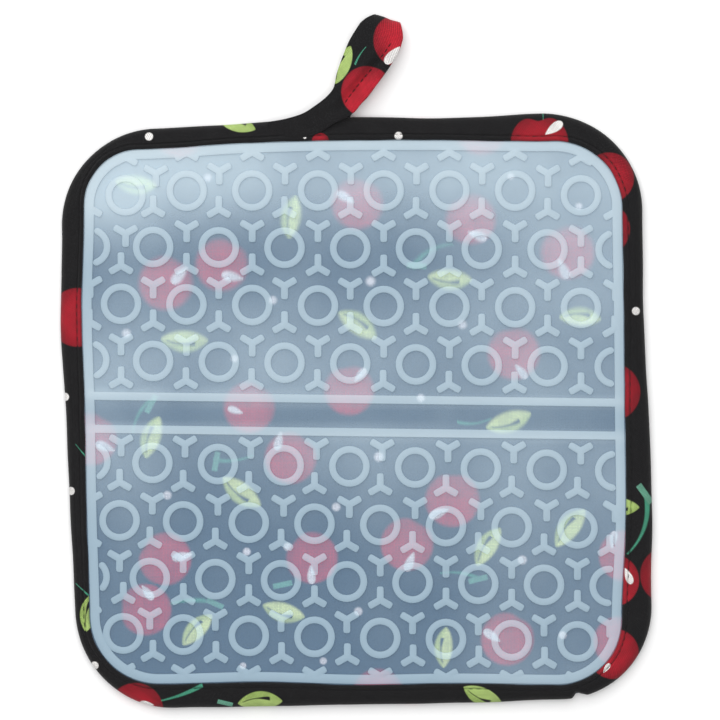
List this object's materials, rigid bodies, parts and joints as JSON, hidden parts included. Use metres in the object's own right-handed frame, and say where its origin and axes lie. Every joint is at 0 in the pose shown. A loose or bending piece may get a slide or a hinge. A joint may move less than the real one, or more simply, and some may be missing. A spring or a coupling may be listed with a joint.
{
  "type": "quilted pot holder",
  "caption": "Square quilted cotton pot holder with rounded corners, a cloth binding, a hanging loop and a ribbed silicone grip face.",
  "frame": {"origin": "middle of the underside, on the flat of the quilted cell there", "axes": "+X to the right of the ribbed face, +Y towards the hanging loop, +Z out of the ribbed face"},
  "size_m": [0.2062, 0.2411, 0.0082],
  "materials": {
    "pad_cotton": "black printed cotton, plain weave, matt, with small red and green fruit and leaf motifs",
    "silicone": "frosted see-through silicone, satin",
    "binding_cotton": "black printed cotton tape, plain weave, matt",
    "loop_cotton": "printed cotton tape, plain weave, matt, red on black"
  },
  "bodies": {
    "root": {"quilted_pad": "pad_cotton", "silicone_grip": "silicone", "edge_binding": "binding_cotton", "hanging_loop": "loop_cotton"}
  },
  "joints": []
}
